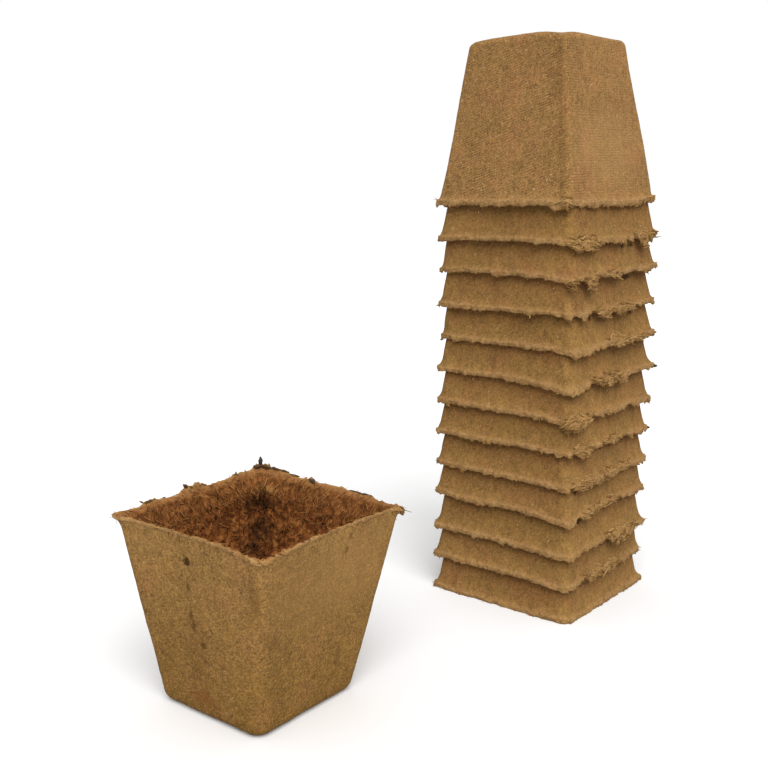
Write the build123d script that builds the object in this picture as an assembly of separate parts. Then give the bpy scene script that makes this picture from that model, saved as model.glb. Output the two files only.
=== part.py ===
from build123d import *
import math
import os

# A set of square peat pots: one stands loose with its mouth up, and the others are
# nested upside down in a tower beside it. Every pot is one pressed shell of peat and
# wood fibre. Millimetres, +Z up, the table at z = 0, the origin in the middle of the whole
# set. The sides of the loose pot are parallel to X and Y.

# Driving dimensions of one pot, measured on its outside

rim_side = 80.0
base_side = 55.5
pot_height = 77.5
wall = 2.0
floor_thickness = 2.6
rim_corner_radius = 6.5
base_corner_radius = 5.5
foot_edge_radius = 4.2

# The flared lip, whose corners stick out as small ears

lip_overhang = 1.7
lip_thickness = 1.5
lip_corner_radius = 5.0
flare_height = 7.0

# The concave flare below the lip: how far down it a section lies, and how much of the
# overhang and of the change in corner radius has been reached there

flare_drop_shares = (1.0, 0.62, 0.34)
flare_reach_shares = (0.0, 0.16, 0.5)

# Rounded corners and edges are made of short flats. A corner gets tighter round the
# edge of the foot, down to this share of its radius.

corner_flat_count = 6
foot_flat_count = 3
floor_flat_count = 2
foot_corner_share = 0.45

# The two groups on the table, from the loose pot's middle to the tower's middle

group_offset_x = 27.2
group_offset_y = 176.2

# The tower: the gap between the walls of two pots that are pressed tight together, and
# how high each pot really sits on the one below as a share of that tight step, from the
# bottom up. Pulp walls are uneven, so no two pots settle alike.

nest_clearance = 0.3
seat_shares = (1.18, 1.02, 1.22, 1.03, 1.10, 1.06, 1.09, 1.10, 1.10, 1.15, 1.05, 1.12)

# How far the lowest pot of the tower is turned from the loose pot, and how much further
# each next pot is turned, in degrees clockwise seen from above

tower_turn_angle = 1.4
turn_step_angle = 0.3

# Sizes that follow from the driving dimensions

taper = math.atan((rim_side - base_side) / 2 / pot_height)
wall_across = wall / math.cos(taper)
tight_step = (wall + nest_clearance) / math.sin(taper)
lip_side = rim_side + 2 * lip_overhang
floor_edge_radius = foot_edge_radius - wall

# A turned pot reaches further along X and Y, so both groups are moved back by half of
# that to keep the origin in the middle

last_turn = math.radians(tower_turn_angle + turn_step_angle * len(seat_shares))
turned_reach = math.cos(last_turn) + math.sin(last_turn)
turned_half = (lip_side / 2 - lip_corner_radius) * turned_reach + lip_corner_radius
middle_shift = (turned_half - lip_side / 2) / 2

quadrants = ((1, 1), (-1, 1), (-1, -1), (1, -1))


def wall_side(z):
    """Outside width of the tapered wall at height z."""
    return base_side + (rim_side - base_side) * z / pot_height


def wall_corner(z):
    """Outside corner radius of the tapered wall at height z."""
    return base_corner_radius + (rim_corner_radius - base_corner_radius) * z / pot_height


def rounded_square(z, side, radius):
    """The points of a square outline at height z, its corners rounded by short flats."""
    middle = side / 2 - radius
    points = []
    for quarter, (sign_x, sign_y) in enumerate(quadrants):
        for step in range(corner_flat_count + 1):
            angle = math.radians(90 * (quarter + step / corner_flat_count))
            x = sign_x * middle + radius * math.cos(angle)
            y = sign_y * middle + radius * math.sin(angle)
            points.append(Vector(x, y, z))
    return points


def round_edge(bottom_z, inset, radius, flats):
    """Outlines up a rounded bottom edge, on a wall that lies inset from the outside."""
    sections = []
    for step in range(flats + 1):
        angle = math.radians(90 * step / flats)
        z = bottom_z + radius * (1 - math.cos(angle))
        tuck_share = 1 - math.sin(angle)
        corner = (wall_corner(z) - inset) * (1 - (1 - foot_corner_share) * tuck_share)
        side = wall_side(z) - 2 * inset - 2 * radius * tuck_share
        sections.append(rounded_square(z, side, corner))
    return sections


def flare_section(drop_share, reach_share):
    """The outline part of the way along the flare, from the plain wall to the lip."""
    z = pot_height - flare_height * drop_share
    corner = wall_corner(z)
    side = wall_side(z) + 2 * lip_overhang * reach_share
    return rounded_square(z, side, corner + (lip_corner_radius - corner) * reach_share)


def outside_sections():
    """Outlines from the foot up the tapered wall and the concave flare to the lip."""
    sections = round_edge(0, 0, foot_edge_radius, foot_flat_count)
    for drop_share, reach_share in zip(flare_drop_shares, flare_reach_shares):
        sections.append(flare_section(drop_share, reach_share))
    sections.append(rounded_square(pot_height - lip_thickness, lip_side, lip_corner_radius))
    sections.append(rounded_square(pot_height, lip_side, lip_corner_radius))
    return sections


def inside_sections():
    """Outlines from the floor of the hollow up to the mouth, one wall inside the outside."""
    sections = round_edge(floor_thickness, wall_across, floor_edge_radius, floor_flat_count)
    mouth_side = rim_side - 2 * wall_across
    sections.append(rounded_square(pot_height, mouth_side, rim_corner_radius - wall_across))
    return sections


def panel(points):
    """A flat face with these corners."""
    return Face(Wire.make_polygon(points, close=True))


def shell_through(sections):
    """A solid whose skin joins each outline to the next, and closes the first and last."""
    faces = [panel(sections[0]), panel(sections[-1])]
    for first, second in zip(sections, sections[1:]):
        for here in range(len(first)):
            after = (here + 1) % len(first)
            faces.append(panel([first[here], first[after], second[after], second[here]]))
    return Solid(Shell(faces))


def pot():
    """One pot on its foot at the origin, its skin running up the outside and down inside."""
    return shell_through(outside_sections() + inside_sections()[::-1])


def upside_down(shape, rim_z, turn_angle):
    """The pot turned over and clockwise by an angle, with its rim at height rim_z."""
    turned = shape.rotate(Axis.X, 180).rotate(Axis.Z, -turn_angle)
    return turned.translate((0, 0, pot_height + rim_z))


def rim_heights():
    """The height of each rim in the tower, from the bottom up."""
    heights = [0]
    for share in seat_shares:
        heights.append(heights[-1] + tight_step * share)
    return heights


loose_place = (-group_offset_x / 2 - middle_shift, -group_offset_y / 2 - middle_shift, 0)
tower_place = (group_offset_x / 2 - middle_shift, group_offset_y / 2 - middle_shift, 0)
one_pot = pot()

nodes = {"loose_pot": one_pot.translate(loose_place)}
for number, rim_z in enumerate(rim_heights()):
    turn_angle = tower_turn_angle + turn_step_angle * number
    tower_pot = upside_down(one_pot, rim_z, turn_angle).translate(tower_place)
    nodes[f"stack_pot_{number + 1:02d}"] = tower_pot

os.makedirs("parts", exist_ok=True)
for name, shape in nodes.items():
    export_step(shape, f"parts/{name}.step")
    print(name, "volume", round(shape.volume, 1), "mm3")
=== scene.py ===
# %% [markdown]
# # Peat pots: one stands loose, the rest are nested upside down
# A peat pot is a thin cup pressed from wet peat and wood fibre over a wire-mesh mould, then
# dried. Outside it is firm and shows the weave of the mould, inside it is a rough felt, and
# round the mouth the pulp squeezes out into a thin, torn lip. This lesson dresses the fourteen
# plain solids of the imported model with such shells. Nothing is moved: every shell sits on the
# solid that it stands for.

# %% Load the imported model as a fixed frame
import math

import bpy
import numpy as np
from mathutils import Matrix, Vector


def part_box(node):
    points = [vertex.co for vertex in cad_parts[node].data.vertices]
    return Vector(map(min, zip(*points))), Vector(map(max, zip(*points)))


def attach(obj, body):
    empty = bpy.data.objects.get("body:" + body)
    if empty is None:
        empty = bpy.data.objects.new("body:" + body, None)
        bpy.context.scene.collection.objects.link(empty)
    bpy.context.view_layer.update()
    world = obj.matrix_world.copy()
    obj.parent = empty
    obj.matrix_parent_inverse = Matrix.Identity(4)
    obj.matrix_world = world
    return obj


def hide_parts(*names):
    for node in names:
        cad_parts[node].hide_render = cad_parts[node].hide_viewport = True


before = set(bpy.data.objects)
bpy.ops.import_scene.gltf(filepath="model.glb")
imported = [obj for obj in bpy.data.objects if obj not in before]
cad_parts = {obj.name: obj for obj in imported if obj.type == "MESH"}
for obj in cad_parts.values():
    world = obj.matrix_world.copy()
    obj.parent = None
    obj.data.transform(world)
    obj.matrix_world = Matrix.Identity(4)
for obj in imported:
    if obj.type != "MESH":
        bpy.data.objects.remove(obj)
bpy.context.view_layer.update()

# %% [markdown]
# ## The camera
# The viewpoint was worked out from the photograph: parallel rims of known width give the
# distance and the tilt. The camera stands about half a metre from the tower, a little above
# its middle, and looks down by ten degrees. Both groups then share one perspective.


# %% Camera
def add_object(name, data):
    """A new object with this data, linked to the scene."""
    thing = bpy.data.objects.new(name, data)
    bpy.context.scene.collection.objects.link(thing)
    return thing


MM = 0.001
IMAGE_WIDTH = 768
FOCAL_PIXELS = 1006.8
SENSOR_MM = 36.0
CAMERA_PLACE_MM = (258.9, -358.7, 195.9)
CAMERA_TURN = 38.1
CAMERA_TILT = 10.19

lens = bpy.data.cameras.new("camera")
lens.sensor_width = SENSOR_MM
lens.lens = FOCAL_PIXELS / IMAGE_WIDTH * SENSOR_MM
camera = add_object("camera", lens)
camera.location = [value * MM for value in CAMERA_PLACE_MM]
camera.rotation_euler = (math.radians(90 - CAMERA_TILT), 0, math.radians(CAMERA_TURN))
bpy.context.scene.camera = camera
print("camera lens", round(lens.lens, 2), "mm")

# %% [markdown]
# ## Grain: a noise with a real size
# Pulp is irregular at every scale, from the sag of a wall to a single fibre. One function gives
# smooth random values in space whose bumps have a chosen width in millimetres. It is the
# classic gradient noise: a random direction at each corner of a grid, blended inside each cell.
# Every seed is fixed, so the pots come out the same on each run.

# %% Gradient noise
TABLE_SIZE = 256
GRAIN_GAIN = 1.6


def unit(vectors):
    """The vectors at a length of one."""
    return vectors / np.linalg.norm(vectors, axis=1, keepdims=True)


def grain(points, width, seed):
    """Smooth noise from about -1 to 1 at points in millimetres, with bumps of this width."""
    random = np.random.default_rng(seed)
    order = random.permutation(TABLE_SIZE)
    slopes = unit(random.normal(size=(TABLE_SIZE, 3)))
    cell_points = points / width + random.uniform(0, TABLE_SIZE, 3)
    corner = np.floor(cell_points).astype(int)
    inside = cell_points - corner
    ease = inside * inside * inside * (inside * (inside * 6 - 15) + 10)
    total = np.zeros(points.shape[:-1])
    for step in np.ndindex(2, 2, 2):
        grid = (corner + step) % TABLE_SIZE
        pick = order[(order[grid[..., 0]] + grid[..., 1]) % TABLE_SIZE]
        pick = order[(pick + grid[..., 2]) % TABLE_SIZE]
        reach = np.sum(slopes[pick] * (inside - step), axis=-1)
        share = np.prod(np.where(np.array(step) == 1, ease, 1 - ease), axis=-1)
        total += share * reach
    return total * GRAIN_GAIN


sample = grain(np.random.default_rng(1).uniform(0, 50, (2000, 3)), 5.0, 3)
print("grain from", round(sample.min(), 2), "to", round(sample.max(), 2))

# %% [markdown]
# ## The section of a pot
# A torn lip needs control over every point, so the shell is one grid: its columns run round the
# pot, and its rows run from the middle of the foot up the outside, over the lip, down the inside
# and to the middle of the floor. The sizes are those of the solids, in millimetres. Only the lip
# and its flare differ: the real lip is thin on the loose pot and swollen in the tower.

# %% Sizes of one pot
RIM_SIDE = 80.0
BASE_SIDE = 55.5
POT_HEIGHT = 77.5
WALL = 2.0
FLOOR = 2.6
RIM_CORNER = 6.5
BASE_CORNER = 5.5
FOOT_CORNER_SHARE = 0.45
LIP_CORNER = 5.0
FLARE_HEIGHT = 8.0
MOUTH_ROUND = 0.8
FOOT_ARCH = 0.5
HUB = 1.5

taper = math.atan((RIM_SIDE - BASE_SIDE) / 2 / POT_HEIGHT)
wall_across = WALL / math.cos(taper)
low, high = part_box("loose_pot")
print("solid is", round((high.z - low.z) / MM, 2), "mm tall, section", POT_HEIGHT)


def wall_half(z):
    """Half the outside width of the plain wall at height z."""
    return (BASE_SIDE + (RIM_SIDE - BASE_SIDE) * z / POT_HEIGHT) / 2


def wall_corner(z):
    """Corner radius of the plain wall at height z."""
    return BASE_CORNER + (RIM_CORNER - BASE_CORNER) * z / POT_HEIGHT


# %% Rows of the section
def section(rows, form):
    """Half width, height, corner radius, and shares of lip, bend, fringe and inside of each row."""
    parts = []
    foot_edge = form["foot_edge"]

    def steps(key, start, stop):
        return np.linspace(start, stop, rows[key], endpoint=False)

    def add(half, height, corner, lip=0, bend=0, fringe=0, inside=0):
        columns = np.broadcast_arrays(half, height, corner, lip, bend, fringe, inside)
        parts.append(np.stack([np.asarray(column, float) for column in columns], axis=1))

    flat_half = wall_half(0) - foot_edge
    foot_corner = BASE_CORNER * FOOT_CORNER_SHARE
    half = steps("foot", HUB, flat_half)
    add(half, FOOT_ARCH * (1 - (half / flat_half) ** 2), foot_corner * half / flat_half)

    angle = steps("edge", 0, math.pi / 2)
    z = foot_edge * (1 - np.cos(angle))
    tuck = 1 - np.sin(angle)
    corner = wall_corner(z) * (1 - (1 - FOOT_CORNER_SHARE) * tuck)
    add(wall_half(z) - foot_edge * tuck, z, corner)

    z = steps("wall", foot_edge, POT_HEIGHT - FLARE_HEIGHT)
    add(wall_half(z), z, wall_corner(z))

    share = steps("flare", 0, 1)
    z = POT_HEIGHT - FLARE_HEIGHT + share * (FLARE_HEIGHT - form["lip_thickness"])
    reach = share ** 3
    edge_half = RIM_SIDE / 2 + form["overhang"] - form["lip_round"]
    half = wall_half(z) + (edge_half - RIM_SIDE / 2) * reach
    corner = wall_corner(z) + (LIP_CORNER - wall_corner(z)) * reach
    add(half, z, corner, 0.8 * share ** form["lip_grip"], 0.8 * share ** 2, 0.15 * share ** 4)

    angle = steps("lip", -math.pi / 2, math.pi / 2)
    half = edge_half + form["lip_round"] * np.sqrt(np.cos(angle))
    z = POT_HEIGHT - form["lip_thickness"] * (1 - np.sin(angle)) / 2
    lip = 0.8 + 0.2 * np.cos(angle)
    add(half, z, LIP_CORNER, lip, lip, 0.15 + 0.85 * (1 + np.sin(angle)) / 2)

    mouth_half = wall_half(POT_HEIGHT) - wall_across
    mouth_corner = RIM_CORNER - wall_across
    share = steps("top", 0, 1)
    half = edge_half + (mouth_half + MOUTH_ROUND - edge_half) * share
    corner = LIP_CORNER + (mouth_corner - LIP_CORNER) * share
    lip = 0.8 - 0.3 * share
    add(half, POT_HEIGHT, corner, lip, lip, (1 - share) ** 1.5, np.clip(share * 1.6, 0, 0.8))

    floor_edge = foot_edge - WALL
    share = steps("inner", 0, 1)
    z = POT_HEIGHT - MOUTH_ROUND - (POT_HEIGHT - MOUTH_ROUND - FLOOR - floor_edge) * share
    lip = 0.5 * np.clip(1 - share * 3 * form["lip_grip"], 0, 1)
    bend = 0.5 * np.clip(1 - share * 6, 0, 1)
    felted = 0.8 + 0.2 * np.clip(share * 12, 0, 1)
    add(wall_half(z) - wall_across, z, wall_corner(z) - wall_across, lip, bend, 0, felted)

    angle = steps("floor_edge", math.pi / 2, 0)
    z = FLOOR + floor_edge * (1 - np.cos(angle))
    tuck = 1 - np.sin(angle)
    corner = (wall_corner(z) - wall_across) * (1 - (1 - FOOT_CORNER_SHARE) * tuck)
    add(wall_half(z) - wall_across - floor_edge * tuck, z, corner, inside=1)

    flat_half = wall_half(FLOOR) - wall_across - floor_edge
    half = np.linspace(flat_half, HUB, rows["floor"])
    corner = (wall_corner(FLOOR) - wall_across) * FOOT_CORNER_SHARE * half / flat_half
    add(half, FLOOR, corner, inside=1)
    return np.concatenate(parts).T


CLOSE_ROWS = dict(foot=9, edge=6, wall=62, flare=14, lip=9, top=7, inner=80, floor_edge=4, floor=12)
TOP_ROWS = dict(CLOSE_ROWS, foot=16, inner=34, floor=8)
STACK_ROWS = dict(foot=6, edge=4, wall=34, flare=14, lip=9, top=6, inner=24, floor_edge=3, floor=6)
print("rows:", [sum(rows.values()) for rows in (CLOSE_ROWS, TOP_ROWS, STACK_ROWS)])

# %% Columns round the pot
FLAT_COLUMNS = 100
ARC_COLUMNS = 16
QUADRANTS = ((1, 1), (-1, 1), (-1, -1), (1, -1))


def pot_columns():
    """For each column: which corner centre it hangs from, and the direction it faces."""
    centres, facing = [], []
    for quarter, corner in enumerate(QUADRANTS):
        following = QUADRANTS[(quarter + 1) % 4]
        for step in range(ARC_COLUMNS):
            angle = math.radians(90 * (quarter + step / ARC_COLUMNS))
            centres.append(corner)
            facing.append((math.cos(angle), math.sin(angle)))
        side = math.radians(90 * (quarter + 1))
        for step in range(FLAT_COLUMNS):
            share = step / FLAT_COLUMNS
            centres.append(tuple(a + (b - a) * share for a, b in zip(corner, following)))
            facing.append((math.cos(side), math.sin(side)))
    return np.array(centres, float), np.array(facing)


CENTRES, FACING = pot_columns()
print("columns:", len(CENTRES))

# %% [markdown]
# ## Shaping one shell
# First the plain grid is laid out, then it is roughened along its own normals. The outside gets
# a slow sag and a fine grain. The inside is felt: lumps of a few millimetres. Round the lip the
# points move outward and beyond the mouth by ragged noise, so that the edge looks torn. Bends
# are places where the whole lip is pulled out or down, tufts are places where torn pulp hangs
# out or has broken off, swells are lumps of the felt, and dents are places where the foot is
# pressed in. In the tower the felt only sinks into the wall, because another pot sits close
# inside. A form holds the sizes of one kind of pot: its grips say how fast the lip's noise and
# its shift fade towards the foot, and plan_share draws the outline in.


# %% The plain grid
def plain_grid(rows, form):
    """Points and normals of the even shell, mouth up, foot at zero, and the shares of each row."""
    half, height, corner, lip, bend, fringe, inside = section(rows, form)
    low_share = np.clip(1 - height / POT_HEIGHT, 0, 1) ** 2
    corner = corner * (form["rim_corner"] + (form["foot_corner"] - form["rim_corner"]) * low_share)
    plan = CENTRES[None] * (half - corner)[:, None, None] + FACING[None] * corner[:, None, None]
    plan = plan * form["plan_share"]
    points = np.concatenate([plan, np.broadcast_to(height[:, None, None], plan.shape[:2] + (1,))], axis=2)
    run, rise = np.gradient(half), np.gradient(height)
    length = np.hypot(run, rise)
    up_part = np.broadcast_to((-run / length)[:, None, None], plan.shape[:2] + (1,))
    normals = np.concatenate([FACING[None] * (rise / length)[:, None, None], up_part], axis=2)
    return points, normals, [share[:, None] for share in (lip, bend, fringe, inside)]


def near_place(points, x, y, width, steepness=1):
    """How near each point lies to a place on the plan, from 0 to 1, fading over this width."""
    apart = ((points[..., 0] - x) ** 2 + (points[..., 1] - y) ** 2) / width ** 2
    return np.exp(-apart ** steepness)


# %% Layers of grain: width in millimetres, height, and step from the pot's seed
RIM_SQUASH = (1, 1, 0.35)
TORN_WIDTHS = (11.0, 4.2, 1.8)
RIM_GRAIN = ((26.0, 0.6, 3), (9.0, 0.4, 4))
SKIN_GRAIN = ((30.0, 0.28, 7), (7.0, 0.12, 8), (2.4, 0.06, 9))
FELT_GRAIN = ((6.0, 0.4, 10), (2.8, 0.55, 11), (1.5, 0.5, 12))
CLOT_GRAIN = ((3.2, 0.5, 13), (1.5, 0.35, 14))


def layered(points, layers, seed):
    """The sum of some layers of grain at these points."""
    return sum(height * grain(points, width, seed + step) for width, height, step in layers)


# %% Shell of one pot
def shape_pot(rows, seed, form, bends, tufts, swells, dents, rim_shift, foot_shift):
    """The points of a finished shell, mouth up, with its normals and the shares of its rows."""
    points, normals, (lip, bend, fringe, inside) = plain_grid(rows, form)
    facing = np.concatenate([FACING, np.zeros((len(FACING), 1))], axis=1)[None]
    ring = points * RIM_SQUASH
    slow, medium, fine = [grain(ring, width, seed + step) for step, width in enumerate(TORN_WIDTHS)]
    ragged = np.clip(0.85 + 0.8 * grain(ring, 3.0, seed + 5) + 0.45 * fine, 0.15, 2.0)
    out = form["tear"] * (0.45 * slow + 0.55 * medium + 0.3 * fine)
    beyond = form["tear"] * layered(ring, RIM_GRAIN, seed)
    torn = form["fringe"] * (1 + form["right_tear"] * np.clip(facing[..., 0], 0, 1))
    hang = torn * np.clip(0.5 * slow + 0.8 * medium + 0.5 * fine + 0.1, 0, None)
    for x, y, width, outward, along in bends:
        near = near_place(points, x, y, width)
        out = out + near * outward
        beyond = beyond + near * along
    for x, y, width, outward, along in tufts:
        near = near_place(points, x, y, width, 2) * (0.55 + 0.45 * ragged)
        out = out + near * outward
        hang = hang + near * along
    moved = points + facing * (out * lip)[..., None]
    moved[..., 2] += beyond * bend + hang * fringe
    skin, felt = layered(points, SKIN_GRAIN, seed), layered(points, FELT_GRAIN, seed)
    if form["felt_sinks"]:
        felt = -np.abs(felt)
    felt = felt * form["felt"]
    for x, y, z, width, height in swells:
        felt += near_place(points, x, y, width) * height * np.exp(-((points[..., 2] - z) / width * 2) ** 2)
    clots = form["clots"] * layered(points, CLOT_GRAIN, seed)
    moved += normals * (skin * (1 - inside) + felt * inside + clots * lip)[..., None]
    for x, y, width, depth in dents:
        moved[..., 2] += near_place(points, x, y, width) * depth * np.exp(-(points[..., 2] / width) ** 2)
    share = np.clip(points[..., 2:] / POT_HEIGHT, 0, 1)
    shift = share ** form["rim_grip"] * rim_shift + (1 - share) * foot_shift
    moved[..., :2] += shift
    return {"points": moved, "normals": normals, "lip": lip, "bend": bend, "fringe": fringe,
            "inside": inside, "foot": 1 - share[..., 0], "hang": hang}


# %% Mesh of one shell
def grid_faces(row_count, column_count):
    """Quads of a grid that closes round the pot, and fans over its first and last row."""
    row, column = np.meshgrid(np.arange(row_count - 1), np.arange(column_count), indexing="ij")
    after = (column + 1) % column_count
    first, second = row * column_count, (row + 1) * column_count
    quads = np.stack([first + column, first + after, second + after, second + column], axis=-1)
    here = np.arange(column_count)
    following = (here + 1) % column_count
    foot_hub = row_count * column_count
    last = (row_count - 1) * column_count
    foot_fan = np.stack([np.full_like(here, foot_hub), following, here], axis=-1)
    floor_fan = np.stack([np.full_like(here, foot_hub + 1), last + here, last + following], axis=-1)
    return quads.reshape(-1, 4).tolist() + foot_fan.tolist() + floor_fan.tolist()


def make_mesh(name, points, faces, shares, material):
    """A smooth mesh object in metres, with a float on each point for each named share."""
    mesh = bpy.data.meshes.new(name)
    mesh.from_pydata((points * MM).tolist(), [], faces)
    mesh.polygons.foreach_set("use_smooth", np.ones(len(faces), bool))
    for key, values in shares.items():
        mesh.attributes.new(key, "FLOAT", "POINT").data.foreach_set("value", values.astype(np.float32))
    mesh.materials.append(material)
    mesh.update()
    return add_object(name, mesh)


# %% [markdown]
# ## Loose fibres and crumbs
# A felt is made of fibres, and at this distance the largest can be told apart. Each is a thin
# closed tube that tapers and bends. A crumb is a short fat tube with rounded ends, and a shred is
# a long flat one. Thousands of fibres lie on the inside of the loose pot, fibres and crumbs stick
# to every torn lip, and shreds where the most pulp hangs. All of a pot's fibres are one mesh, and
# a number on each, its tone, makes some pale as wood and others dark as peat.

# %% Tubes along bent paths
FIBRE_PROFILE = np.array((1.0, 0.85, 0.65, 0.45))
CRUMB_PROFILE = np.array((0.45, 0.9, 1.0, 0.85, 0.6, 0.3))
SHRED_PROFILE = np.array((0.35, 0.8, 1.0, 1.0, 0.75, 0.3))
SHRED_FLATNESS = 0.5
SHRED_SHARE = 1.5
FIBRE_SIDES = 3
CRUMB_SIDES = 7
HAIR_WIDTHS = (0.14, 0.3)
CRUMB_LENGTHS = (0.9, 2.4)
CRUMB_WIDTHS = (0.45, 1.0)
SHRED_LENGTHS = (2.5, 8.5)
SHRED_WIDTHS = (0.4, 1.1)
UNEVEN = (0.72, 1.28)


def tubes(roots, aims, leans, lengths, widths, bends, sides, profile, flat, seed):
    """Points and faces of closed tubes that start at roots, run along aims and bend towards leans."""
    random = np.random.default_rng(seed)
    count, rings = len(roots), len(profile)
    aims = unit(aims)
    across = unit(leans - aims * np.sum(leans * aims, axis=1, keepdims=True))
    other = np.cross(aims, across)
    along = np.linspace(0, 1, rings)[None, :, None]
    sway = random.normal(0, 0.07, (count, 1, 1)) * (bends != 0)[:, None, None]
    sway = sway * np.sin(2 * math.pi * along + random.uniform(0, 6, (count, 1, 1)))
    curve = across[:, None] * bends[:, None, None] * along ** 2
    paths = aims[:, None] * along + curve + other[:, None] * sway
    paths = roots[:, None] + lengths[:, None, None] * paths
    angle = 2 * math.pi * np.arange(sides) / sides
    spokes = across[:, None] * flat * np.cos(angle)[None, :, None]
    spokes = spokes + other[:, None] * np.sin(angle)[None, :, None]
    swell = widths[:, None, None] / 2 * profile[None, :, None]
    swell = swell * random.uniform(*UNEVEN, (count, rings, sides))
    points = paths[:, :, None] + spokes[:, None] * swell[..., None]
    ring, side = np.meshgrid(np.arange(rings - 1), np.arange(sides), indexing="ij")
    after = (side + 1) % sides
    first, second = ring * sides, (ring + 1) * sides
    quads = np.stack([first + side, first + after, second + after, second + side], axis=-1).reshape(-1, 4)
    starts = np.arange(count)[:, None, None] * rings * sides
    cap = np.arange(sides)
    faces = (quads[None] + starts).reshape(-1, 4).tolist()
    faces += (cap[::-1][None] + starts[:, 0]).tolist()
    faces += (cap[None] + (rings - 1) * sides + starts[:, 0]).tolist()
    return points.reshape(-1, 3), faces


print("points of a fibre:", FIBRE_SIDES * len(FIBRE_PROFILE))


# %% Where fibres and crumbs grow
def chosen(pot, mask):
    """Points, normals and hang of the shell where the mask holds."""
    at = np.nonzero(np.broadcast_to(mask, pot["hang"].shape))
    return pot["points"][at], pot["normals"][at], pot["hang"][at]


def rim_fibres(pot, count, longest, seed):
    """Roots, aims, leans, lengths, widths, bends and tones of fibres that stick out of the lip."""
    random = np.random.default_rng(seed)
    points, outward, hang = chosen(pot, pot["lip"] > 0.75)
    pick = random.integers(0, len(points), count)
    aims = outward[pick] * 0.6 + random.normal(0, 0.7, (count, 3))
    leans = random.normal(size=(count, 3))
    lengths, widths = random.uniform(0.3, 1.0, count) * longest, random.uniform(*HAIR_WIDTHS, count)
    bends, tones = random.normal(0, 0.35, count), random.uniform(0.3, 0.95, count)
    return points[pick], aims, leans, lengths, widths, bends, tones


def rim_crumbs(pot, count, seed):
    """The same for crumbs, which cling where the most pulp hangs."""
    random = np.random.default_rng(seed)
    points, outward, hang = chosen(pot, pot["fringe"] > 0.6)
    weight = np.clip(hang, 0, 3) + 0.25
    pick = random.choice(len(points), count, p=weight / weight.sum())
    aims = np.cross(outward[pick], (0, 0, 1.0)) + random.normal(0, 0.6, (count, 3))
    lengths, widths = random.uniform(*CRUMB_LENGTHS, count), random.uniform(*CRUMB_WIDTHS, count)
    roots = points[pick] - unit(aims) * lengths[:, None] / 2
    leans = random.normal(size=(count, 3))
    bends, tones = random.normal(0, 0.25, count), random.uniform(0.3, 0.75, count)
    return roots, aims, leans, lengths, widths, bends, tones


def clump_shreds(pot, clumps, seed):
    """The same for flat shreds of pulp that lie along stretches of the torn edge."""
    random = np.random.default_rng(seed)
    points, outward, hang = chosen(pot, (pot["bend"] > 0.4) & (pot["inside"] < 0.5))
    sets = []
    for x, y, to_x, to_y, width, count in clumps:
        begin, run = np.array((x, y)), np.array((to_x - x, to_y - y))
        along = np.clip((points[:, :2] - begin) @ run / (run @ run), 0, 1)
        apart = np.linalg.norm(points[:, :2] - begin - along[:, None] * run, axis=1)
        count = round(count * SHRED_SHARE)
        pick = random.choice(np.nonzero(apart < width)[0], count)
        aims = np.append(run / np.linalg.norm(run), 0.0) * random.choice((-1.0, 1.0), (count, 1))
        aims = aims + random.normal(0, 0.2, (count, 3))
        aims -= outward[pick] * np.sum(aims * outward[pick], axis=1, keepdims=True)
        lengths, widths = random.uniform(*SHRED_LENGTHS, count), random.uniform(*SHRED_WIDTHS, count)
        aims = unit(aims)
        rise = outward[pick] * random.uniform(-0.2, 0.2, (count, 1))
        roots = points[pick] - aims * lengths[:, None] / 2 + rise
        bends, tones = random.uniform(-0.06, 0.1, count), random.uniform(0.2, 0.95, count)
        sets.append((roots, aims, outward[pick], lengths, widths, bends, tones))
    return sets


def felt_fibres(pot, count, lowest, tone_shifts, seed):
    """The same for fibres on the felt, darker or paler round some places."""
    random = np.random.default_rng(seed)
    points, outward, hang = chosen(pot, (pot["inside"] > 0.7) & (pot["points"][..., 2] > lowest))
    pick = random.integers(0, len(points), count)
    roots, outward = points[pick], outward[pick]
    aims = random.normal(0, 0.6, (count, 3))
    aims -= outward * np.sum(aims * outward, axis=1, keepdims=True)
    aims += outward * random.uniform(0.1, 0.5, (count, 1))
    near_top = np.clip((roots[:, 2] - POT_HEIGHT + 12.0) / 8.0, 0, 1)
    aims[:, 2] = np.where(near_top > 0.5, -np.abs(aims[:, 2]) - 0.3, aims[:, 2])
    tones = random.uniform(0.0, 0.85, count) + 0.2 * near_top
    for place, size, shift in tone_shifts:
        tones += shift * np.exp(-np.sum(((roots - place) / size) ** 2, axis=1))
    leans = outward * 0.35 + random.normal(0, 0.6, (count, 3))
    leans *= np.sign(np.sum(leans * outward, axis=1, keepdims=True))
    coarse = random.uniform(0, 1, count) ** 2
    lengths, widths = 1.4 + 3.4 * coarse, 0.2 + 0.25 * coarse
    return roots, aims, leans, lengths, widths, np.abs(random.normal(0, 0.6, count)), tones


# %% [markdown]
# ## Materials
# Pressed peat pulp is matt and brown, speckled with pale wood fibres and dark grains. Each colour
# is an sRGB hex value that one function turns to linear, and each pattern's scale comes from its
# size in millimetres. Shares stored on the points, how near the lip, how far inside and how near
# the foot, let one material fade from the firm skin to the felt and to the pale torn edge, whose
# pulp is paler and which also gets a painted highlight. Towards the foot the skin can get painted
# shade, and in the tower a redder painted shade darkens the band under the lip above.


# %% Colour and node helpers
def hex_colour(code):
    """An sRGB hex value as linear red, green, blue and alpha."""
    parts = [int(code[start:start + 2], 16) / 255 for start in (1, 3, 5)]
    return tuple(p / 12.92 if p <= 0.04045 else ((p + 0.055) / 1.055) ** 2.4 for p in parts) + (1.0,)


def per_mm(width):
    """The texture scale that gives a pattern this many millimetres wide."""
    return 1 / (width * MM)


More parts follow.
